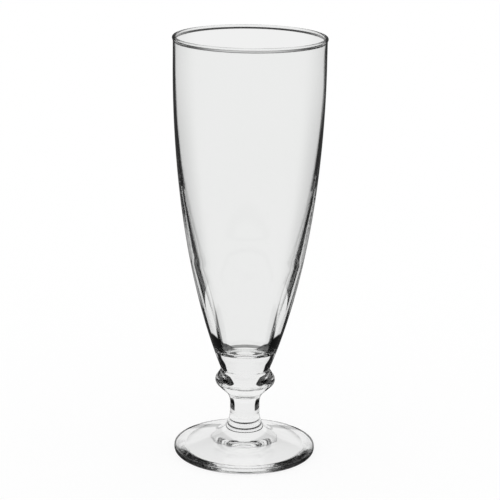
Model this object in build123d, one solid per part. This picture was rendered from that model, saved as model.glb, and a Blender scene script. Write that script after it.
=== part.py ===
from build123d import *
import os
from math import cos, hypot, radians, sin, sqrt, tan

# A footed pilsner glass of clear glass: foot, stem, knop and bowl, each a turned piece, fused end to end.
# It stands on z = 0 with its axis on Z. Lengths are in millimetres and angles in degrees.
# A point of an outline is a radius and a height.

# Whole glass
TOTAL_HEIGHT = 202.0

# Foot: a disc with a sloping top, a rounded edge and a hollow underside
FOOT_RADIUS = 33.85
FOOT_EDGE_HEIGHT = 3.2
FOOT_SLOPE = 15.4
FOOT_EDGE_ROUND = 0.8
FOOT_TOE_ROUND = 1.6
HOLLOW_RADIUS = 27.5
HOLLOW_DEPTH = 3.5

# Stem: a short spool that flares down to the foot and spreads up to the knop
STEM_RADIUS = 7.05
WAIST_LENGTH = 4.7
FLARE_RADIUS = 12.0
FLARE_JOINT_ANGLE = 45.0
HEAD_RADIUS = 7.95
HEAD_ANGLE = 52.4

# Knop: two cones that meet in a rounded rim, and a narrow neck under the bowl
KNOP_HEIGHT = 10.9
KNOP_CORNER_RADIUS = 15.15
KNOP_CORNER_HEIGHT = 4.9
KNOP_ROUND = 3.0
NECK_RADIUS = 11.8
NECK_LAND = 0.8
NECK_ROUND = 2.5

# Bowl outside: a flank that leaves the neck at an angle and swells to an upright wall under the rim
FLANK_ANGLE = 21.3
FLANK_LOWER_PULL = 52.4
FLANK_UPPER_PULL = 38.5
BELLY_RADIUS = 35.49
UPRIGHT_LENGTH = 13.5

# Bowl inside: a thin upper wall, a slight settle wave, a thick lower wall and a solid floor
RIM_WALL = 0.95
RIM_PROUD = 0.4
RIM_BLEND = 3.0
UPPER_WALL_PULL = 26.4
WAVE_WALL = 3.25
WAVE_HEIGHT = 46.6
WAVE_PULL = 38.75
WAVE_ANGLE_ABOVE = 14.0
WAVE_ANGLE_BELOW = 11.5
BASE_WALL = 4.45
BASE_WALL_ANGLE = 17.0
FLOOR_ROUND = 5.0
FLOOR_THICKNESS = 8.8


def beside(point, distance, angle):
    """The point at a distance from another, upwards and leaning outwards by an angle from upright."""
    return point[0] + distance * sin(radians(angle)), point[1] + distance * cos(radians(angle))


def on_circle(centre, radius, angle):
    """The point of a circle at an angle above the outward level."""
    return centre[0] + radius * cos(radians(angle)), centre[1] + radius * sin(radians(angle))


def turned(edges):
    """The solid that a closed outline makes when it turns once about the axis."""
    return revolve(Plane.XZ * make_face(Curve() + edges), Axis.Z)


# Joints between the pieces, from the table up
flare_centre_radius = STEM_RADIUS + FLARE_RADIUS
flare_centre = (
    flare_centre_radius,
    FOOT_EDGE_HEIGHT
    + (FOOT_RADIUS - flare_centre_radius) * tan(radians(FOOT_SLOPE))
    + FLARE_RADIUS / cos(radians(FOOT_SLOPE)),
)
foot_joint = on_circle(flare_centre, FLARE_RADIUS, 180 + FLARE_JOINT_ANGLE)
waist_bottom = (STEM_RADIUS, flare_centre[1])
waist_top = (STEM_RADIUS, flare_centre[1] + WAIST_LENGTH)
head_centre = (STEM_RADIUS + HEAD_RADIUS, waist_top[1])
knop_joint = on_circle(head_centre, HEAD_RADIUS, 180 - HEAD_ANGLE)
neck_joint = (NECK_RADIUS, knop_joint[1] + KNOP_HEIGHT)


def make_foot():
    slope_top = on_circle(flare_centre, FLARE_RADIUS, 270 - FOOT_SLOPE)
    flare_middle = on_circle(flare_centre, FLARE_RADIUS, 225 + (FLARE_JOINT_ANGLE - FOOT_SLOPE) / 2)
    hollow_top = (0, HOLLOW_DEPTH)
    hollow_edge = (HOLLOW_RADIUS, 0)
    return turned(
        [
            TangentArc(hollow_top, hollow_edge, tangent=(1, 0)),
            FilletPolyline(
                hollow_edge,
                (FOOT_RADIUS, 0),
                (FOOT_RADIUS, FOOT_EDGE_HEIGHT),
                slope_top,
                radius=[FOOT_TOE_ROUND, FOOT_EDGE_ROUND],
            ),
            ThreePointArc(slope_top, flare_middle, foot_joint),
            Polyline(foot_joint, (0, foot_joint[1]), hollow_top),
        ]
    )


def make_stem():
    flare_middle = on_circle(flare_centre, FLARE_RADIUS, 180 + FLARE_JOINT_ANGLE / 2)
    head_middle = on_circle(head_centre, HEAD_RADIUS, 180 - HEAD_ANGLE / 2)
    return turned(
        [
            ThreePointArc(foot_joint, flare_middle, waist_bottom),
            Line(waist_bottom, waist_top),
            ThreePointArc(waist_top, head_middle, knop_joint),
            Polyline(knop_joint, (0, knop_joint[1]), (0, foot_joint[1]), foot_joint),
        ]
    )


def make_knop():
    corner = (KNOP_CORNER_RADIUS, knop_joint[1] + KNOP_CORNER_HEIGHT)
    shoulder_top = (NECK_RADIUS, neck_joint[1] - NECK_LAND)
    return turned(
        [
            FilletPolyline(knop_joint, corner, shoulder_top, neck_joint, radius=[KNOP_ROUND, NECK_ROUND]),
            Polyline(neck_joint, (0, neck_joint[1]), (0, knop_joint[1]), knop_joint),
        ]
    )


def flank_points():
    """The four points that shape the outside of the bowl, from the neck up to the upright wall."""
    belly_height = TOTAL_HEIGHT - UPRIGHT_LENGTH
    start = (
        NECK_RADIUS + NECK_ROUND * (1 - cos(radians(FLANK_ANGLE))),
        neck_joint[1] + NECK_ROUND * sin(radians(FLANK_ANGLE)),
    )
    return [
        start,
        beside(start, FLANK_LOWER_PULL, FLANK_ANGLE),
        (BELLY_RADIUS, belly_height - FLANK_UPPER_PULL),
        (BELLY_RADIUS, belly_height),
    ]


def flank_radius(height):
    """The outside radius of the bowl's flank at a height, found by halving."""
    weights = lambda t: ((1 - t) ** 3, 3 * t * (1 - t) ** 2, 3 * t * t * (1 - t), t**3)
    low, high = 0.0, 1.0
    while high - low > 1e-9:
        middle = (low + high) / 2
        if sum(w * p[1] for w, p in zip(weights(middle), flank_points())) < height:
            low = middle
        else:
            high = middle
    return sum(w * p[0] for w, p in zip(weights(low), flank_points()))


def rim_edges(outer_wall_foot, inner_wall_foot):
    """The upright wall and the rounded bead on its top, from the outside over to the inside."""
    bead_radius = RIM_WALL / 2 + RIM_PROUD
    bead = (BELLY_RADIUS - RIM_WALL / 2, TOTAL_HEIGHT - bead_radius)
    reach = bead_radius + RIM_BLEND
    side = RIM_WALL / 2 + RIM_BLEND
    drop = sqrt(reach**2 - side**2)
    outer_bead = (bead[0] + side * bead_radius / reach, bead[1] - drop * bead_radius / reach)
    inner_bead = (bead[0] - side * bead_radius / reach, outer_bead[1])
    outer_wall = (outer_wall_foot[0], bead[1] - drop)
    inner_wall = (inner_wall_foot[0], bead[1] - drop)
    return [
        Line(outer_wall_foot, outer_wall),
        TangentArc(outer_wall, outer_bead, tangent=(0, 1)),
        ThreePointArc(outer_bead, (bead[0], TOTAL_HEIGHT), inner_bead),
        TangentArc(inner_wall, inner_bead, tangent=(0, 1)),
        Line(inner_wall, inner_wall_foot),
    ]


def cavity_edges(wall_foot):
    """The inside of the bowl, from the foot of the upright wall down to the middle of the floor."""
    floor = neck_joint[1] + FLOOR_THICKNESS
    wave_height = floor + WAVE_HEIGHT
    wave = (flank_radius(wave_height) - WAVE_WALL, wave_height)
    base_height = floor + FLOOR_ROUND * (1 - sin(radians(BASE_WALL_ANGLE)))
    base = (flank_radius(base_height) - BASE_WALL, base_height)
    floor_edge = (base[0] - FLOOR_ROUND * cos(radians(BASE_WALL_ANGLE)), floor)
    third = hypot(wave[0] - base[0], wave[1] - base[1]) / 3
    return [
        Bezier(
            wall_foot,
            (wall_foot[0], wall_foot[1] - UPPER_WALL_PULL),
            beside(wave, WAVE_PULL, WAVE_ANGLE_ABOVE),
            wave,
        ),
        Bezier(
            wave,
            beside(wave, -third, WAVE_ANGLE_BELOW),
            beside(base, third, BASE_WALL_ANGLE),
            base,
        ),
        TangentArc(floor_edge, base, tangent=(1, 0)),
        Line(floor_edge, (0, floor)),
        Line((0, floor), (0, neck_joint[1])),
    ]


def make_bowl():
    flank = flank_points()
    inner_wall_foot = (BELLY_RADIUS - RIM_WALL, flank[-1][1])
    return turned(
        [
            TangentArc(neck_joint, flank[0], tangent=(0, 1)),
            Bezier(*flank),
            *rim_edges(flank[-1], inner_wall_foot),
            *cavity_edges(inner_wall_foot),
            Line((0, neck_joint[1]), neck_joint),
        ]
    )


pieces = {
    "foot": make_foot(),
    "stem": make_stem(),
    "knop": make_knop(),
    "bowl": make_bowl(),
}

os.makedirs("parts", exist_ok=True)
for name, piece in pieces.items():
    piece.label = name
    export_step(piece, f"parts/{name}.step")
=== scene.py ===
import math

import bpy
from mathutils import Matrix, Vector


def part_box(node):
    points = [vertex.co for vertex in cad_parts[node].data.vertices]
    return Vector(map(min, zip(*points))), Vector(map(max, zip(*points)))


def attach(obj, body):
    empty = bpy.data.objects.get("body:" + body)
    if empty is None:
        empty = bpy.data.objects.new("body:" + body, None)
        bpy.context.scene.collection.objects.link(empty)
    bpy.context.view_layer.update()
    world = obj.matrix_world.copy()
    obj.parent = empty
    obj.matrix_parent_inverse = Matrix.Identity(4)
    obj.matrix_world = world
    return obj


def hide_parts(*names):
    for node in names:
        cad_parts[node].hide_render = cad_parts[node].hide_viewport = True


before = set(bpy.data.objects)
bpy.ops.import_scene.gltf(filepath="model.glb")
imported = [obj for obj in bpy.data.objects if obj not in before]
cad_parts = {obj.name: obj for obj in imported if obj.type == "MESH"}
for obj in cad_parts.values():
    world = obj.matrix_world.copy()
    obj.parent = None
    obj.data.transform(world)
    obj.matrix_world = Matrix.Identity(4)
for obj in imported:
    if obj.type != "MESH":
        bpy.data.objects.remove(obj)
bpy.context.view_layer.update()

# The glass, in metres and degrees. A point of an outline is a radius and a height.
MM = 0.001
TOTAL_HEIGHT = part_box("bowl")[1].z

# Foot: a disc with a sloping top, a rounded edge and a hollow underside
FOOT_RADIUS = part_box("foot")[1].x
FOOT_EDGE_HEIGHT = 3.2 * MM
FOOT_SLOPE = 15.4
FOOT_EDGE_ROUND = 0.8 * MM
FOOT_TOE_ROUND = 1.6 * MM
HOLLOW_RADIUS = 27.5 * MM
HOLLOW_DEPTH = 3.5 * MM

# Stem: a short spool that flares down to the foot and spreads up to the knop
STEM_RADIUS = 7.05 * MM
FLARE_RADIUS = 12.0 * MM
FLARE_JOINT_ANGLE = 45.0
HEAD_RADIUS = 7.95 * MM
HEAD_ANGLE = 52.4

# Knop: two cones that meet in a rounded rim, and a narrow neck under the bowl
KNOP_CORNER_RADIUS = 15.15 * MM
KNOP_CORNER_HEIGHT = 4.9 * MM
KNOP_ROUND = 3.0 * MM
NECK_RADIUS = 11.8 * MM
NECK_LAND = 0.8 * MM
NECK_ROUND = 2.5 * MM

# Bowl outside: a flank that leaves the neck at an angle and swells to an upright wall under the rim
FLANK_ANGLE = 21.3
FLANK_LOWER_PULL = 52.4 * MM
FLANK_UPPER_PULL = 38.5 * MM
BELLY_RADIUS = 35.49 * MM
UPRIGHT_LENGTH = 13.5 * MM

# Bowl inside: a thin upper wall, a slight settle wave, a thick lower wall and a solid floor
RIM_WALL = 0.95 * MM
RIM_PROUD = 0.4 * MM
RIM_BLEND = 3.0 * MM
UPPER_WALL_PULL = 26.4 * MM
WAVE_WALL = 3.25 * MM
WAVE_HEIGHT = 46.6 * MM
WAVE_PULL = 38.75 * MM
WAVE_ANGLE_ABOVE = 14.0
WAVE_ANGLE_BELOW = 11.5
BASE_WALL = 4.45 * MM
BASE_WALL_ANGLE = 17.0
FLOOR_ROUND = 5.0 * MM
FLOOR_THICKNESS = 8.8 * MM

# How finely the turned pieces are drawn, and what counts as one point, one height and a level face
TURN_STEPS = 256
CURVE_STEPS = 44
ARC_STEPS = 14
LINE_STEPS = 6
SEARCH_STEPS = 2000
SAME_POINT = 1e-7
SAME_HEIGHT = 1e-6
LEVEL_FACE = 0.999
SMOOTH_ANGLE = 30.0

# Finish of the glass: a trace of tint, faint waves drawn out along the axis, and scuffs on the resting ring
GLASS_IOR = 1.52
GLASS_TINT = 0.006
RIPPLE_STRETCH = (1, 1, 0.35)
RIPPLE_SCALE = 90.0
RIPPLE_DETAIL = 1.0
RIPPLE_STRENGTH = 0.3
RIPPLE_DEPTH = 0.2 * MM
SCUFF_SCALE = 900.0
SCUFF_DETAIL = 3.0
SCUFF_HEIGHT = (0.1 * MM, 0.3 * MM)
SCUFF_SHARE = (0.5, 0.7)
SCUFF_ROUGHNESS = 0.25

# Camera, from the photograph's own perspective, and how often light may turn inside the glass
VIEW_HEADING = 67.5
CAMERA_DISTANCE = 852.1 * MM
CAMERA_HEIGHT = 337.156 * MM
CAMERA_PITCH = 15.5309
CAMERA_ROLL = 0.9
CAMERA_YAW = 0.0925
CAMERA_LENS = 134.88
SENSOR_WIDTH = 36.0
CLIP_START = 0.01
CLIP_END = 100.0
GLASS_BOUNCES = 96
CLEAR_BOUNCES = 32

# Studio. A pair gives where a change starts and ends, or the two heights that something lies between.
# Steepness is in degrees from the level, and a climb is the sine of the angle at which a ray rises.
WHITE = (1, 1, 1, 1)
BACKGROUND_LIGHT = 0.875
ROOM_LIGHT = 0.08
SKY_LIMIT = (31.0, 36.0)
SKY_TOP = (58.0, 63.0)
FLOOR_SIZE = 12.0
FLOOR_GLOW = 0.8
RISING = (0.09, 0.14)
EDGE = 1.0 * MM
WIDE_EDGE = 5.0 * MM

# Sleeve: how far from the axis it is lit, as a share of the glass's own radius at that height
SLEEVE_SCALE = 1.3
SLEEVE_RISE = (46.0 * MM, 114.0 * MM)
SLEEVE_CLEAR = (0.745, 0.966)
SLEEVE_CLEAR_STEM = 0.685
SLEEVE_CLEAR_FOOT = 0.36
SLEEVE_CLEAR_FADE = 4.0 * MM
SLEEVE_SOFTNESS = 0.012

# Sleeve: the ring at the foot that is lit for every ray, and how high up it is black where it isn't lit
SLEEVE_OPEN = (5.6 * MM, 16.5 * MM)
SLEEVE_SOLID = (47.0 * MM, 54.5 * MM)

# Sleeve: where it is dark to steep rays, from stem to knop, over the bowl's floor and in two thin lines
STEEP_LIMIT = (37.0, 41.0)
SLEEVE_STEEP = (19.8 * MM, 27.0 * MM, 49.0 * MM)
FLOOR_LINE = (40.0 * MM, 47.0 * MM)
FLOOR_LINE_SHADE = 0.7
KNOP_LINE = (33.5 * MM, 36.5 * MM)
KNOP_LINE_STEEP = (24.0, 28.0)

# Sleeve: where rising rays pass it, and how its light falls off away from the axis, less so near the top
SLEEVE_WALL_FROM = 85.0 * MM
SLEEVE_RIM_FROM = 198.5 * MM
SLEEVE_RIM_CLIMB = (0.068, 0.085)
SLEEVE_FALL = (0.68, 0.95)
SLEEVE_FALL_SHARE = 0.2
SLEEVE_FALL_TOP = (135.0 * MM, 185.0 * MM)
SLEEVE_FALL_TOP_SHARE = 0.6

# Drum: slots low down for rays that leave through the wall, and a gap for rays that pass close over the rim
DRUM_RADIUS = 135.0 * MM
DRUM_HIGH = 290.0 * MM
# The drum's dim black glow, which is also the colour of the painted shadow on the table
DRUM_AND_SHADOW_LIGHT = 0.004
SLOT_COUNT = 6
SLOT_HALF_WIDTH = 6.5
SLOT_SOFTNESS = 1.0
SLOT_TOP = 85.0 * MM
WALL_RAYS = 15.0 * MM
WALL_RAYS_RISE = 0.1
WALL_RAYS_MOST = 31.0 * MM
RIM_GAP = (124.0 * MM, 134.0 * MM)
RIM_GAP_ASIDE = (8.0 * MM, 34.0 * MM)
RIM_GAP_SHARE = 0.72

# Drum: the pale band that rising rays meet, taller and white near the axis
BLIND = (112.0 * MM, 146.0 * MM)
BLIND_LIGHT = 0.5
BLIND_NEAR_AXIS = (86.0 * MM, 160.0 * MM)
BLIND_ASIDE = (15.0 * MM, 22.0 * MM)
BLIND_STEEP = (24.0, 28.0)

# Table round the foot, where a near-black ring is painted as its shadow, and the backdrop
TABLE_SHADOW_SPAN = (32.4 * MM, 134.0 * MM)
TABLE_SHADOW_DEPTH = 0.1 * MM
TABLE_SHADOW_REACH = 95.0 * MM
BRIGHT_TABLE = (48.0 * MM, 140.0 * MM)
BRIGHT_TABLE_GRAZE = (13.0, 18.0)
BACKDROP_RADIUS = 300.0 * MM
BACKDROP_HIGH = 170.0 * MM
BACKDROP_FADE = 30.0 * MM
BACKDROP_CLIMB = (0.03, 0.08)


def beside(point, distance, angle):
    """The point at a distance from another, upwards and leaning outwards by an angle from upright."""
    lean = math.radians(angle)
    return point[0] + distance * math.sin(lean), point[1] + distance * math.cos(lean)


def on_circle(centre, radius, angle):
    """The point of a circle at an angle above the outward level."""
    turn = math.radians(angle)
    return centre[0] + radius * math.cos(turn), centre[1] + radius * math.sin(turn)


def arc(centre, radius, start, end, steps=ARC_STEPS):
    """Points along an arc, from one angle to another."""
    return [on_circle(centre, radius, start + (end - start) * i / steps) for i in range(steps + 1)]


def line(start, end, steps=LINE_STEPS):
    """Points along a straight stretch."""
    share = [i / steps for i in range(steps + 1)]
    return [(start[0] + (end[0] - start[0]) * t, start[1] + (end[1] - start[1]) * t) for t in share]


def curve(points, steps=CURVE_STEPS):
    """Points along a curve that four points shape."""
    drawn = []
    for i in range(steps + 1):
        t = i / steps
        weights = ((1 - t) ** 3, 3 * t * (1 - t) ** 2, 3 * t * t * (1 - t), t**3)
        drawn.append(tuple(sum(w * p[k] for w, p in zip(weights, points)) for k in (0, 1)))
    return drawn


def rounded(before, corner, after, radius):
    """Points along the arc that rounds a corner between two other points."""
    a = Vector(before) - Vector(corner)
    b = Vector(after) - Vector(corner)
    half = a.angle(b) / 2
    middle = Vector(corner) + (a.normalized() + b.normalized()).normalized() * radius / math.sin(half)
    start = Vector(corner) + a.normalized() * radius / math.tan(half) - middle
    end = Vector(corner) + b.normalized() * radius / math.tan(half) - middle
    first = math.degrees(math.atan2(start.y, start.x))
    turn = math.degrees(math.atan2(start.x * end.y - start.y * end.x, start.dot(end)))
    return arc(tuple(middle), radius, first, first + turn)


def joined(*stretches):
    """One outline from several stretches, without the points that two of them share."""
    outline = []
    for point in (p for stretch in stretches for p in stretch):
        if not outline or math.dist(outline[-1], point) > SAME_POINT:
            outline.append(point)
    return outline


# Joints between the pieces, from the table up
flare_centre_radius = STEM_RADIUS + FLARE_RADIUS
flare_centre = (
    flare_centre_radius,
    FOOT_EDGE_HEIGHT
    + (FOOT_RADIUS - flare_centre_radius) * math.tan(math.radians(FOOT_SLOPE))
    + FLARE_RADIUS / math.cos(math.radians(FOOT_SLOPE)),
)
foot_joint = on_circle(flare_centre, FLARE_RADIUS, 180 + FLARE_JOINT_ANGLE)
knop_joint_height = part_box("stem")[1].z
head_centre = (
    STEM_RADIUS + HEAD_RADIUS,
    knop_joint_height - HEAD_RADIUS * math.sin(math.radians(HEAD_ANGLE)),
)
knop_joint = on_circle(head_centre, HEAD_RADIUS, 180 - HEAD_ANGLE)
neck_joint = (NECK_RADIUS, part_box("knop")[1].z)


def foot_outline():
    hollow_centre_height = HOLLOW_DEPTH - (HOLLOW_RADIUS**2 + HOLLOW_DEPTH**2) / (2 * HOLLOW_DEPTH)
    hollow_reach = HOLLOW_DEPTH - hollow_centre_height
    hollow_angle = math.degrees(math.asin(HOLLOW_RADIUS / hollow_reach))
    hollow_edge = (HOLLOW_RADIUS, 0)
    toe = (FOOT_RADIUS, 0)
    edge = (FOOT_RADIUS, FOOT_EDGE_HEIGHT)
    slope_top = on_circle(flare_centre, FLARE_RADIUS, 270 - FOOT_SLOPE)
    toe_arc = rounded(hollow_edge, toe, edge, FOOT_TOE_ROUND)
    edge_arc = rounded(toe, edge, slope_top, FOOT_EDGE_ROUND)
    return joined(
        arc((0, hollow_centre_height), hollow_reach, 90, 90 - hollow_angle, CURVE_STEPS),
        line(hollow_edge, toe_arc[0]),
        toe_arc,
        edge_arc,
        line(edge_arc[-1], slope_top, CURVE_STEPS),
        arc(flare_centre, FLARE_RADIUS, 270 - FOOT_SLOPE, 180 + FLARE_JOINT_ANGLE),
        [(0, foot_joint[1])],
    )


def stem_outline():
    return joined(
        [(0, foot_joint[1])],
        arc(flare_centre, FLARE_RADIUS, 180 + FLARE_JOINT_ANGLE, 180, CURVE_STEPS),
        line((STEM_RADIUS, flare_centre[1]), (STEM_RADIUS, head_centre[1])),
        arc(head_centre, HEAD_RADIUS, 180, 180 - HEAD_ANGLE, CURVE_STEPS),
        [(0, knop_joint[1])],
    )


def knop_outline():
    corner = (KNOP_CORNER_RADIUS, knop_joint[1] + KNOP_CORNER_HEIGHT)
    shoulder_top = (NECK_RADIUS, neck_joint[1] - NECK_LAND)
    corner_arc = rounded(knop_joint, corner, shoulder_top, KNOP_ROUND)
    neck_arc = rounded(corner, shoulder_top, neck_joint, NECK_ROUND)
    return joined(
        [(0, knop_joint[1])],
        line(knop_joint, corner_arc[0], ARC_STEPS),
        corner_arc,
        line(corner_arc[-1], neck_arc[0], ARC_STEPS),
        neck_arc,
        [neck_joint, (0, neck_joint[1])],
    )


def flank_points():
    """The four points that shape the outside of the bowl, from the neck up to the upright wall."""
    belly_height = TOTAL_HEIGHT - UPRIGHT_LENGTH
    start = (
        NECK_RADIUS + NECK_ROUND * (1 - math.cos(math.radians(FLANK_ANGLE))),
        neck_joint[1] + NECK_ROUND * math.sin(math.radians(FLANK_ANGLE)),
    )
    return [
        start,
        beside(start, FLANK_LOWER_PULL, FLANK_ANGLE),
        (BELLY_RADIUS, belly_height - FLANK_UPPER_PULL),
        (BELLY_RADIUS, belly_height),
    ]


def flank_radius(height):
    """The outside radius of the bowl's flank at a height."""
    drawn = curve(flank_points(), SEARCH_STEPS)
    above = next(i for i, p in enumerate(drawn) if p[1] >= height)
    (r0, z0), (r1, z1) = drawn[above - 1], drawn[above]
    return r0 + (r1 - r0) * (height - z0) / (z1 - z0)


def rim_outline(outer_wall_foot, inner_wall_foot):
    """The upright wall and the rounded bead on its top, from the outside over to the inside."""
    bead_radius = RIM_WALL / 2 + RIM_PROUD
    bead = (BELLY_RADIUS - RIM_WALL / 2, TOTAL_HEIGHT - bead_radius)
    side = RIM_WALL / 2 + RIM_BLEND
    drop = math.sqrt((bead_radius + RIM_BLEND) ** 2 - side**2)
    lean = math.degrees(math.atan2(drop, side))
    outer_blend = (bead[0] + side, bead[1] - drop)
    inner_blend = (bead[0] - side, bead[1] - drop)
    return joined(
        line(outer_wall_foot, (outer_wall_foot[0], outer_blend[1])),
        arc(outer_blend, RIM_BLEND, 180, 180 - lean),
        arc(bead, bead_radius, -lean, 180 + lean, 3 * ARC_STEPS),
        arc(inner_blend, RIM_BLEND, lean, 0),
        line((inner_wall_foot[0], inner_blend[1]), inner_wall_foot),
    )


def cavity_outline(wall_foot):
    """The inside of the bowl, from the foot of the upright wall down to the middle of the floor."""
    floor = neck_joint[1] + FLOOR_THICKNESS
    wave_height = floor + WAVE_HEIGHT
    wave = (flank_radius(wave_height) - WAVE_WALL, wave_height)
    base_height = floor + FLOOR_ROUND * (1 - math.sin(math.radians(BASE_WALL_ANGLE)))
    base = (flank_radius(base_height) - BASE_WALL, base_height)
    floor_edge = base[0] - FLOOR_ROUND * math.cos(math.radians(BASE_WALL_ANGLE))
    third = math.dist(wave, base) / 3
    return joined(
        curve(
            [
                wall_foot,
                (wall_foot[0], wall_foot[1] - UPPER_WALL_PULL),
                beside(wave, WAVE_PULL, WAVE_ANGLE_ABOVE),
                wave,
            ]
        ),
        curve([wave, beside(wave, -third, WAVE_ANGLE_BELOW), beside(base, third, BASE_WALL_ANGLE), base]),
        arc((floor_edge, floor + FLOOR_ROUND), FLOOR_ROUND, -BASE_WALL_ANGLE, -90),
        line((floor_edge, floor), (0, floor), ARC_STEPS),
    )


def bowl_outline():
    flank = flank_points()
    inner_wall_foot = (BELLY_RADIUS - RIM_WALL, flank[-1][1])
    neck_centre = (NECK_RADIUS + NECK_ROUND, neck_joint[1])
    return joined(
        [(0, neck_joint[1])],
        arc(neck_centre, NECK_ROUND, 180, 180 - FLANK_ANGLE),
        curve(flank, 2 * CURVE_STEPS),
        rim_outline(flank[-1], inner_wall_foot),
        cavity_outline(inner_wall_foot),
    )


class Value:
    """A socket of a node tree, on which plain arithmetic adds Math nodes."""

    def __init__(self, nodes, socket):
        self.nodes = nodes
        self.socket = socket

    def math(self, operation, *others):
        return self.nodes.math(operation, self, *others)

    def __add__(self, other):
        return self.math("ADD", other)

    def __sub__(self, other):
        return self.math("SUBTRACT", other)

    def __rsub__(self, other):
        return self.nodes.math("SUBTRACT", other, self)

    def __mul__(self, other):
        return self.math("MULTIPLY", other)

    def __truediv__(self, other):
        return self.math("DIVIDE", other)

    def __rtruediv__(self, other):
        return self.nodes.math("DIVIDE", other, self)

    __radd__ = __add__
    __rmul__ = __mul__


class Nodes:
    """The node tree of one material or world."""

    def __init__(self, owner):
        owner.use_nodes = True
        self.tree = owner.node_tree
        self.tree.nodes.clear()

    def add(self, kind, settings={}, inputs={}, output=0):
        """Adds a node, sets it up, fills its inputs with values or links, and gives one output."""
        node = self.tree.nodes.new(kind)
        for name, value in settings.items():
            setattr(node, name, value)
        for name, value in inputs.items():
            if isinstance(value, Value):
                self.tree.links.new(value.socket, node.inputs[name])
            else:
                node.inputs[name].default_value = value
        return Value(self, node.outputs[output]) if node.outputs else None

    def math(self, operation, *values):
        """Works on numbers."""
        return self.add("ShaderNodeMath", {"operation": operation}, dict(enumerate(values)))

    def vector(self, operation, first, second=None, output=0):
        """Works on one or two vectors."""
        inputs = {0: first} if second is None else {0: first, 1: second}
        return self.add("ShaderNodeVectorMath", {"operation": operation}, inputs, output)

    def ramp(self, value, low, high):
        """0 where a value is below low, 1 above high and smooth between them."""
        settings = {"interpolation_type": "SMOOTHSTEP"}
        return self.add("ShaderNodeMapRange", settings, {"Value": value, "From Min": low, "From Max": high})

    def above(self, value, low, soft=EDGE):
        """0 where a value is below low and 1 above it, with a soft edge."""
        return self.ramp(value, low, low + soft)

    def band(self, value, low, high, soft=EDGE):
        """1 where a value is between low and high and 0 elsewhere, with soft edges."""
        return self.above(value, low, soft) * (1 - self.above(value, high, soft))

    def facing(self, direction):
        """How nearly a ray runs along a direction, either way: 1 along it and 0 square to it."""
        return 1 - self.add("ShaderNodeLayerWeight", {}, {"Blend": 0.5, "Normal": direction}, "Facing")


def clear_glass():
    """Clear colourless glass with the faint waves of its making."""
    material = bpy.data.materials.new("clear_glass")
    nodes = Nodes(material)
    place = nodes.add("ShaderNodeTexCoord", output="Object")
    drawn_out = nodes.vector("MULTIPLY", place, RIPPLE_STRETCH)
    ripple = {"Vector": drawn_out, "Scale": RIPPLE_SCALE, "Detail": RIPPLE_DETAIL}
    waves = nodes.add("ShaderNodeTexNoise", {}, ripple)
    bump = {"Height": waves, "Strength": RIPPLE_STRENGTH, "Distance": RIPPLE_DEPTH}
    surface = nodes.add("ShaderNodeBump", {}, bump)
    tint = waves * GLASS_TINT + (1 - GLASS_TINT)
    colour = nodes.add("ShaderNodeCombineColor", {}, {"Red": tint, "Green": 1.0, "Blue": tint})
    height = nodes.add("ShaderNodeSeparateXYZ", {}, {0: place}, "Z")
    scuff = {"Vector": place, "Scale": SCUFF_SCALE, "Detail": SCUFF_DETAIL}
    scuffs = nodes.add("ShaderNodeTexNoise", {}, scuff)
    worn = (1 - nodes.ramp(height, *SCUFF_HEIGHT)) * nodes.ramp(scuffs, *SCUFF_SHARE)
    shader = nodes.add(
        "ShaderNodeBsdfPrincipled",
        {},
        {
            "Base Color": colour,
            "Roughness": worn * SCUFF_ROUGHNESS,
            "IOR": GLASS_IOR,
            "Transmission Weight": 1.0,
            "Normal": surface,
        },
    )
    nodes.add("ShaderNodeOutputMaterial", {}, {"Surface": shader})
    return material


def fused_joint():
    """The face where two pieces are melted into one, which doesn't show."""
    material = bpy.data.materials.new("fused_joint")
    nodes = Nodes(material)
    shader = nodes.add("ShaderNodeBsdfPrincipled", {}, {"Alpha": 0.0})
    nodes.add("ShaderNodeOutputMaterial", {}, {"Surface": shader})
    return material


def turn_piece(name, outline):
    """Draws half an outline by extruding one point along it, and spins it into a closed piece."""
    bpy.ops.object.select_all(action="DESELECT")
    bpy.ops.mesh.primitive_plane_add(size=FOOT_RADIUS, location=(0, 0, 0))
    piece = bpy.context.object
    piece.name = piece.data.name = name
    bpy.ops.object.mode_set(mode="EDIT")
    bpy.ops.mesh.select_all(action="SELECT")
    bpy.ops.mesh.merge(type="CENTER")
    here = (0, 0)
    for step, (radius, height) in enumerate(outline):
        move = {"value": (radius - here[0], 0, height - here[1])}
        if step:
            bpy.ops.mesh.extrude_vertices_move(TRANSFORM_OT_translate=move)
        else:
            bpy.ops.transform.translate(**move)
        here = (radius, height)
    bpy.ops.mesh.select_all(action="SELECT")
    bpy.ops.mesh.spin(steps=TURN_STEPS, angle=math.tau, center=(0, 0, 0), axis=(0, 0, 1))
    bpy.ops.mesh.select_all(action="SELECT")
    bpy.ops.mesh.remove_doubles(threshold=SAME_POINT)
    bpy.ops.mesh.normals_make_consistent(inside=False)
    bpy.ops.object.mode_set(mode="OBJECT")
    bpy.ops.object.shade_smooth_by_angle(angle=math.radians(SMOOTH_ANGLE))
    return piece


def finish_piece(piece, node, joint_heights, glass, joint):
    """Gives a piece its glass, and the faces of its fused joints theirs, in place of its CAD node."""
    piece.data.materials.append(glass)
    piece.data.materials.append(joint)
    for face in piece.data.polygons:
        level = abs(face.normal.z) > LEVEL_FACE
        if level and any(abs(face.center.z - height) < SAME_HEIGHT for height in joint_heights):
            face.material_index = 1
    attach(piece, "root")
    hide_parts(node)


def make_glass():
    glass = clear_glass()
    joint = fused_joint()
    joint_heights = (foot_joint[1], knop_joint[1], neck_joint[1])
    outlines = {
        "foot": foot_outline(),
        "stem": stem_outline(),
        "knop": knop_outline(),
        "bowl": bowl_outline(),
    }
    for node, outline in outlines.items():
        finish_piece(turn_piece("glass_" + node, outline), node, joint_heights, glass, joint)


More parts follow.
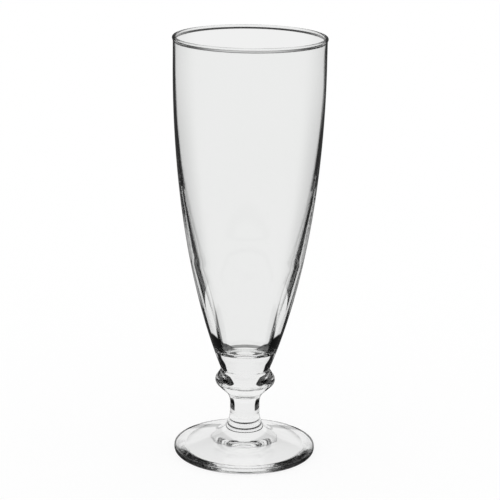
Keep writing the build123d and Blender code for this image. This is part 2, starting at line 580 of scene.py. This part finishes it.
def make_floor():
    """A plain white floor that takes the glass's shadow. The glass shows the studio instead of it."""
    bpy.ops.object.select_all(action="DESELECT")
    bpy.ops.mesh.primitive_plane_add(size=FLOOR_SIZE, location=(0, 0, 0))
    floor = bpy.context.object
    floor.name = "floor"
    floor.visible_transmission = False
    floor.visible_glossy = False
    material = bpy.data.materials.new("white_floor")
    nodes = Nodes(material)
    paint = nodes.add("ShaderNodeBsdfDiffuse", {}, {"Color": WHITE})
    glow = nodes.add("ShaderNodeEmission", {}, {"Color": WHITE, "Strength": 1.0})
    shader = nodes.add("ShaderNodeMixShader", {}, {"Fac": FLOOR_GLOW, 1: paint, 2: glow})
    nodes.add("ShaderNodeOutputMaterial", {}, {"Surface": shader})
    floor.data.materials.append(material)


def only_through_glass(piece):
    """Keeps a studio piece out of the picture, off the floor and out of reflections."""
    piece.visible_camera = False
    piece.visible_diffuse = False
    piece.visible_glossy = False
    piece.visible_shadow = False


def only_in_reflections(piece):
    """Shows such a studio piece where the glass mirrors it, and no longer through the glass."""
    piece.visible_transmission = False
    piece.visible_glossy = True


def grey(light):
    """The neutral colour of a light."""
    return light, light, light, 1


def sines(angles):
    """The sines of angles in degrees, as the steepness of a ray is measured."""
    return [math.sin(math.radians(angle)) for angle in angles]


def screen_shader(nodes, mask, colour):
    """A light of its own colour where a mask is 1, and nothing at all where it is 0."""
    clear = nodes.add("ShaderNodeBsdfTransparent")
    glow = nodes.add("ShaderNodeEmission", {}, {"Color": colour, "Strength": 1.0})
    shader = nodes.add("ShaderNodeMixShader", {}, {"Fac": mask, 1: clear, 2: glow})
    nodes.add("ShaderNodeOutputMaterial", {}, {"Surface": shader})


class StudioRays:
    """How rays from the glass meet a louvred studio surface.

    x, y, height and radius say where they meet it. Aside and offset say how far from the axis they pass,
    as a share of that radius and as a length. Steep, level, climb and rising say how they slope.
    """

    def __init__(self, nodes):
        place = nodes.add("ShaderNodeTexCoord", output="Object")
        self.x = nodes.add("ShaderNodeSeparateXYZ", {}, {0: place}, "X")
        self.y = nodes.add("ShaderNodeSeparateXYZ", {}, {0: place}, "Y")
        self.height = nodes.add("ShaderNodeSeparateXYZ", {}, {0: place}, "Z")
        across = nodes.vector("CROSS_PRODUCT", (0, 0, 1), place)
        outward = nodes.vector("NORMALIZE", nodes.vector("MULTIPLY", place, (1, 1, 0)))
        leaning = nodes.vector("NORMALIZE", nodes.vector("ADD", outward, (0, 0, 1)))
        self.radius = nodes.vector("LENGTH", across, output="Value")
        self.steep = nodes.facing(nodes.add("ShaderNodeCombineXYZ", {}, {"Z": 1.0}))
        self.level = (1 - self.steep * self.steep).math("SQRT")
        self.aside = nodes.facing(nodes.vector("NORMALIZE", across)) / self.level
        self.offset = self.aside * self.radius
        self.climb = nodes.facing(leaning) * math.sqrt(2) - nodes.facing(outward)
        self.rising = nodes.ramp(self.climb, *RISING)


def sleeve_reach(nodes, rays):
    """How far from the axis the sleeve is lit: widest at the top, narrow at the stem, least at the foot."""
    low, high = SLEEVE_RISE
    narrow, wide = SLEEVE_CLEAR
    span = {"From Min": low, "From Max": high, "To Min": narrow, "To Max": wide}
    reach = nodes.add("ShaderNodeMapRange", {}, {"Value": rays.height, **span})
    below_bowl = 1 - nodes.above(rays.height, low, SLEEVE_CLEAR_FADE)
    reach = reach - below_bowl * (narrow - SLEEVE_CLEAR_STEM)
    at_foot = 1 - nodes.ramp(rays.height, SLEEVE_OPEN[0] - EDGE, SLEEVE_OPEN[0])
    return reach - at_foot * (SLEEVE_CLEAR_STEM - SLEEVE_CLEAR_FOOT)


def sleeve_shade(nodes, rays):
    """Where the sleeve keeps its light from steep rays."""
    from_stem, to_knop, from_floor = (nodes.above(rays.height, height) for height in SLEEVE_STEEP)
    floor_line = nodes.band(rays.height, *FLOOR_LINE) * (1 - rays.rising) * FLOOR_LINE_SHADE
    shaded = from_stem - to_knop + from_floor * rays.rising + floor_line
    too_steep = nodes.ramp(rays.steep, *sines(STEEP_LIMIT)) * shaded
    knop_line = nodes.ramp(rays.steep, *sines(KNOP_LINE_STEEP)) * rays.rising
    return too_steep.math("MAXIMUM", nodes.band(rays.height, *KNOP_LINE) * knop_line)


def louvred_light():
    """White light behind upright louvres that point at the axis, which shows only to rays near the axis."""
    material = bpy.data.materials.new("louvred_light")
    nodes = Nodes(material)
    rays = StudioRays(nodes)
    off_axis = rays.aside * SLEEVE_SCALE
    reach = sleeve_reach(nodes, rays)
    near_axis = 1 - nodes.ramp(off_axis, reach - SLEEVE_SOFTNESS, reach + SLEEVE_SOFTNESS)
    past_wall = nodes.above(rays.height, SLEEVE_WALL_FROM) * rays.rising
    past_rim = nodes.above(rays.height, SLEEVE_RIM_FROM) * nodes.ramp(rays.climb, *SLEEVE_RIM_CLIMB)
    held = 1 - past_wall.math("MAXIMUM", past_rim)
    lit = near_axis * (1 - sleeve_shade(nodes, rays)) * held
    shown = lit.math("MAXIMUM", nodes.band(rays.height, *SLEEVE_OPEN))
    inner, outer = SLEEVE_SOLID
    outside = (off_axis - SLEEVE_CLEAR_STEM).math("MAXIMUM", 0.0)
    solid_top = outside * ((outer - inner) / (1 - SLEEVE_CLEAR_STEM)) + inner
    solid = 1 - nodes.above(rays.height, solid_top)
    near_top = nodes.ramp(rays.height, *SLEEVE_FALL_TOP) * SLEEVE_FALL_TOP_SHARE
    dimmed = nodes.ramp(off_axis, *SLEEVE_FALL) * (1 - near_top) * SLEEVE_FALL_SHARE
    light = (1 - dimmed) * BACKGROUND_LIGHT
    screen_shader(nodes, shown.math("MAXIMUM", solid), shown * light)
    return material


def drum_openings(nodes, rays):
    """Upright slots with soft edges, for rays through the wall, and a gap for rays close over the rim."""
    spacing = 360 / SLOT_COUNT
    turn = (rays.x.math("ARCTAN2", rays.y) - math.radians(VIEW_HEADING)) / math.radians(spacing)
    beside_slot = (turn.math("FRACT") - 0.5).math("ABSOLUTE") * spacing
    slot = 1 - nodes.ramp(beside_slot, SLOT_HALF_WIDTH - SLOT_SOFTNESS, SLOT_HALF_WIDTH + SLOT_SOFTNESS)
    slot = slot * (1 - nodes.above(rays.height, SLOT_TOP))
    wall_rays = (rays.height * WALL_RAYS_RISE + WALL_RAYS).math("MINIMUM", WALL_RAYS_MOST)
    slot = slot * nodes.ramp(rays.offset, wall_rays - EDGE, wall_rays + EDGE) * (1 - rays.rising)
    from_rim = (rays.height - TOTAL_HEIGHT) * rays.level / rays.steep
    share = (1 - nodes.ramp(rays.offset, *RIM_GAP_ASIDE)) * RIM_GAP_SHARE
    return slot.math("MAXIMUM", nodes.ramp(from_rim, *RIM_GAP) * share * rays.rising)


def drum_blind(nodes, rays):
    """A pale band for rays that rise, though not steeply, which is white near the axis."""
    near_axis = 1 - nodes.ramp(rays.offset, *BLIND_ASIDE)
    white = nodes.band(rays.height, *BLIND_NEAR_AXIS, WIDE_EDGE) * near_axis * BACKGROUND_LIGHT
    pale = nodes.band(rays.height, *BLIND, WIDE_EDGE) * BLIND_LIGHT
    steep = nodes.ramp(rays.steep, *sines(BLIND_STEEP))
    return pale.math("MAXIMUM", white) * (1 - steep) * rays.rising


def black_drum():
    """Dull black all round, with openings and a pale band."""
    material = bpy.data.materials.new("black_drum")
    nodes = Nodes(material)
    rays = StudioRays(nodes)
    screen_shader(nodes, 1 - drum_openings(nodes, rays), drum_blind(nodes, rays) + DRUM_AND_SHADOW_LIGHT)
    return material


def painted_table_shadow():
    """A painted shadow on the table round the foot: near black close in, and further out dark only to rays
    near the axis.
    """
    material = bpy.data.materials.new("painted_table_shadow")
    nodes = Nodes(material)
    rays = StudioRays(nodes)
    shade = 1 - nodes.above(rays.radius, TABLE_SHADOW_REACH, WIDE_EDGE)
    inside = 1 - nodes.ramp(rays.offset, WALL_RAYS - EDGE, WALL_RAYS + EDGE)
    # Painted shade: a near-black glow stands in for the table's shadow round the foot
    screen_shader(nodes, shade.math("MAXIMUM", inside), grey(DRUM_AND_SHADOW_LIGHT))
    return material


def white_backdrop():
    """A white wall for the rays that climb from the foot, which fades out at its top."""
    material = bpy.data.materials.new("white_backdrop")
    nodes = Nodes(material)
    rays = StudioRays(nodes)
    below_top = 1 - nodes.ramp(rays.height, BACKDROP_HIGH - BACKDROP_FADE, BACKDROP_HIGH)
    screen_shader(nodes, nodes.ramp(rays.climb, *BACKDROP_CLIMB) * below_top, grey(BACKGROUND_LIGHT))
    return material


def bright_table():
    """The table as a low ray sees it in the glass: a white gleam that steeper rays don't meet."""
    material = bpy.data.materials.new("bright_table")
    nodes = Nodes(material)
    steep = StudioRays(nodes).steep
    gleam = 1 - nodes.ramp(steep, *sines(BRIGHT_TABLE_GRAZE))
    screen_shader(nodes, gleam, grey(BACKGROUND_LIGHT))
    return material


def make_sleeve():
    """A sleeve of louvred light that follows the outside of the glass from the table to the rim."""
    outside = joined(
        [(FOOT_RADIUS, 0), (FOOT_RADIUS, FOOT_EDGE_HEIGHT)],
        arc(flare_centre, FLARE_RADIUS, 270 - FOOT_SLOPE, 180),
        arc(head_centre, HEAD_RADIUS, 180, 180 - HEAD_ANGLE),
        [(KNOP_CORNER_RADIUS, knop_joint[1] + KNOP_CORNER_HEIGHT), neck_joint],
        curve(flank_points()),
        [(BELLY_RADIUS, TOTAL_HEIGHT)],
    )
    sleeve = turn_piece("studio_sleeve", [(radius * SLEEVE_SCALE, height) for radius, height in outside])
    sleeve.data.materials.append(louvred_light())
    only_through_glass(sleeve)


def make_round_wall(radius, high, material):
    """An open round wall that stands on the table."""
    bpy.ops.object.select_all(action="DESELECT")
    bpy.ops.mesh.primitive_cylinder_add(
        vertices=TURN_STEPS,
        radius=radius,
        depth=high,
        end_fill_type="NOTHING",
        location=(0, 0, high / 2),
    )
    wall = bpy.context.object
    wall.name = wall.data.name = "studio_" + material.name
    bpy.ops.object.transform_apply(location=True)
    wall.data.materials.append(material)
    only_through_glass(wall)
    return wall


def make_walls():
    """A black drum round the whole setting, and further out the backdrop that only reflections show."""
    make_round_wall(DRUM_RADIUS, DRUM_HIGH, black_drum())
    only_in_reflections(make_round_wall(BACKDROP_RADIUS, BACKDROP_HIGH, white_backdrop()))


def make_table_ring(span, height, material):
    """A flat ring of the table round the foot."""
    inner, outer = span
    bpy.ops.object.select_all(action="DESELECT")
    bpy.ops.mesh.primitive_circle_add(vertices=TURN_STEPS, radius=inner, location=(0, 0, 0))
    ring = bpy.context.object
    ring.name = ring.data.name = "studio_" + material.name
    bpy.ops.object.mode_set(mode="EDIT")
    bpy.ops.mesh.select_all(action="SELECT")
    bpy.ops.transform.translate(value=(0, 0, height))
    bpy.ops.mesh.extrude_edges_move()
    bpy.ops.transform.resize(value=(outer / inner, outer / inner, 1))
    bpy.ops.object.mode_set(mode="OBJECT")
    ring.data.materials.append(material)
    only_through_glass(ring)
    return ring


def make_table():
    """The table as the glass shows it: a painted shadow through the foot's edge, and bright where it is
    mirrored.
    """
    make_table_ring(TABLE_SHADOW_SPAN, -TABLE_SHADOW_DEPTH, painted_table_shadow())
    only_in_reflections(make_table_ring(BRIGHT_TABLE, 0, bright_table()))


def make_studio():
    """A white background, which glass shows too, and a dim room in the glass's reflections."""
    world = bpy.data.worlds.new("studio")
    bpy.context.scene.world = world
    nodes = Nodes(world)
    refracted = nodes.add("ShaderNodeLightPath", output="Is Transmission Ray")
    mirrored = nodes.add("ShaderNodeLightPath", output="Is Glossy Ray") * (1 - refracted)
    direction = nodes.add("ShaderNodeTexCoord", output="Generated")
    steep = nodes.add("ShaderNodeSeparateXYZ", {}, {0: direction}, "Z")
    walls = 1 - nodes.ramp(steep, *sines(SKY_LIMIT))
    overhead = nodes.ramp(steep, *sines(SKY_TOP))
    strength = 1 - refracted * (1 - (walls + overhead) * BACKGROUND_LIGHT) - mirrored * (1 - ROOM_LIGHT)
    shader = nodes.add("ShaderNodeBackground", {}, {"Color": WHITE, "Strength": strength})
    nodes.add("ShaderNodeOutputWorld", {}, {"Surface": shader})
    world.cycles.sampling_method = "NONE"


def make_camera():
    """A camera at the photograph's distance, height and tilt."""
    data = bpy.data.cameras.new("camera")
    data.sensor_width = SENSOR_WIDTH
    data.lens = CAMERA_LENS
    data.clip_start = CLIP_START
    data.clip_end = CLIP_END
    camera = bpy.data.objects.new("camera", data)
    bpy.context.scene.collection.objects.link(camera)
    stand = math.radians(VIEW_HEADING)
    look = math.radians(VIEW_HEADING + CAMERA_YAW)
    pitch = math.radians(CAMERA_PITCH)
    roll = math.radians(CAMERA_ROLL)
    forward = Vector((math.sin(look) * math.cos(pitch), math.cos(look) * math.cos(pitch), -math.sin(pitch)))
    level = Vector((math.cos(look), -math.sin(look), 0))
    above = level.cross(forward)
    right = level * math.cos(roll) + above * math.sin(roll)
    top = above * math.cos(roll) - level * math.sin(roll)
    turn = Matrix((right, top, -forward)).transposed()
    camera.matrix_world = turn.to_4x4()
    towards = (-math.sin(stand), -math.cos(stand))
    camera.location = (towards[0] * CAMERA_DISTANCE, towards[1] * CAMERA_DISTANCE, CAMERA_HEIGHT)
    bpy.context.scene.camera = camera


def set_render():
    """Plain colours, and enough bounces for light to cross every wall of the glass."""
    scene = bpy.context.scene
    scene.view_settings.view_transform = "Standard"
    scene.cycles.max_bounces = GLASS_BOUNCES
    scene.cycles.transmission_bounces = GLASS_BOUNCES
    scene.cycles.glossy_bounces = GLASS_BOUNCES
    scene.cycles.transparent_max_bounces = CLEAR_BOUNCES


make_glass()
make_floor()
make_sleeve()
make_walls()
make_table()
make_studio()
make_camera()
set_render()
